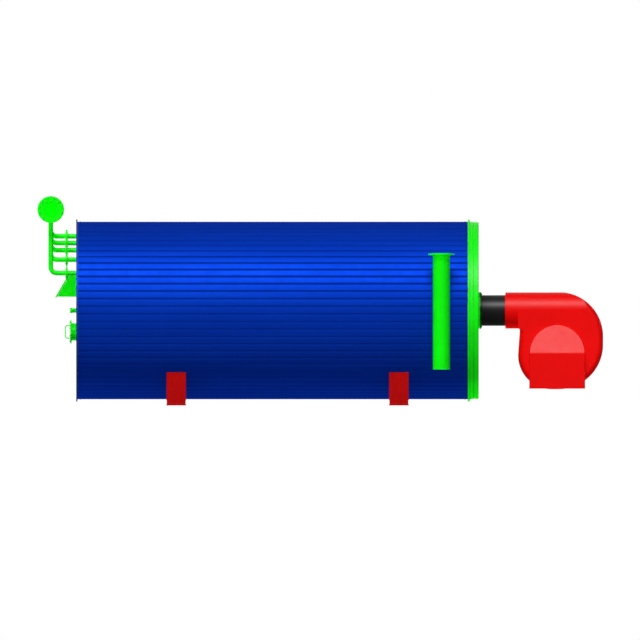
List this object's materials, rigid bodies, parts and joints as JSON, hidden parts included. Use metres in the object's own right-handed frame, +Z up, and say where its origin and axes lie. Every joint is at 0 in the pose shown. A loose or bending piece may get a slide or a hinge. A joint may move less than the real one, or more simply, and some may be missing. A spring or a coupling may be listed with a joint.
{
  "type": "horizontal gas boiler",
  "caption": "Horizontal coil boiler: round casing of grooved sheet on saddles, burner with fan scroll and intake hood at one end, header pipework and hinged relief flap at the other.",
  "frame": {"origin": "On the ground midway between the two saddles, on the casing's centre plane, at the centre of the anchor bolt pattern", "axes": "+X along the casing towards the burner, +Y away from the upright header, +Z up"},
  "size_m": [7.2, 2.6485, 2.664],
  "materials": {
    "blue_sheet": "semi-gloss coil coating",
    "green_enamel": "gloss enamel",
    "red_enamel": "gloss enamel",
    "saddle_paint": "semi-gloss paint",
    "black_heat_paint": "satin heat-resistant paint",
    "gasket_sheet": "matt",
    "sight_glass": "clear",
    "zinc_steel": "zinc plated"
  },
  "bodies": {
    "boiler": {"casing_top": "blue_sheet", "casing_bottom": "blue_sheet", "casing_header_side": "blue_sheet", "casing_far_side": "blue_sheet", "rear_end_plate": "blue_sheet", "front_ring": "green_enamel", "door_frame": "green_enamel", "burner_door": "green_enamel", "burner_pad": "green_enamel", "rear_header_pipe": "green_enamel", "rear_header_flange": "green_enamel", "rear_header_cap": "green_enamel", "coil_risers": "green_enamel", "coil_elbows": "green_enamel", "coil_spools": "green_enamel", "coil_tails": "green_enamel", "relief_duct": "green_enamel", "sight_tube": "green_enamel", "sight_cap": "green_enamel", "inspection_neck": "green_enamel", "inspection_cover": "green_enamel", "inspection_handle": "green_enamel", "side_header_pipe": "green_enamel", "side_header_flange": "green_enamel", "side_header_end": "green_enamel", "side_header_stubs": "green_enamel", "burner_neck": "red_enamel", "fan_scroll": "red_enamel", "intake_hood": "red_enamel", "motor_flange": "red_enamel", "rear_saddle": "saddle_paint", "front_saddle": "saddle_paint", "rear_base_plate": "saddle_paint", "front_base_plate": "saddle_paint", "burner_flange": "black_heat_paint", "blast_tube": "black_heat_paint", "intake_grille": "black_heat_paint", "motor_body": "black_heat_paint", "motor_cowl": "black_heat_paint", "terminal_box": "black_heat_paint", "coil_gaskets": "gasket_sheet", "sight_glass": "sight_glass", "relief_hinge_pin": "zinc_steel"},
    "relief_flap": {"relief_flap": "green_enamel"}
  },
  "joints": [
    {"name": "relief_flap_hinge", "type": "hinge", "parent": "boiler", "child": "relief_flap", "pos_m": [-2.77376, 0, 1.68055], "axis": [0, 1, 0], "range_deg": [0, 70]}
  ]
}
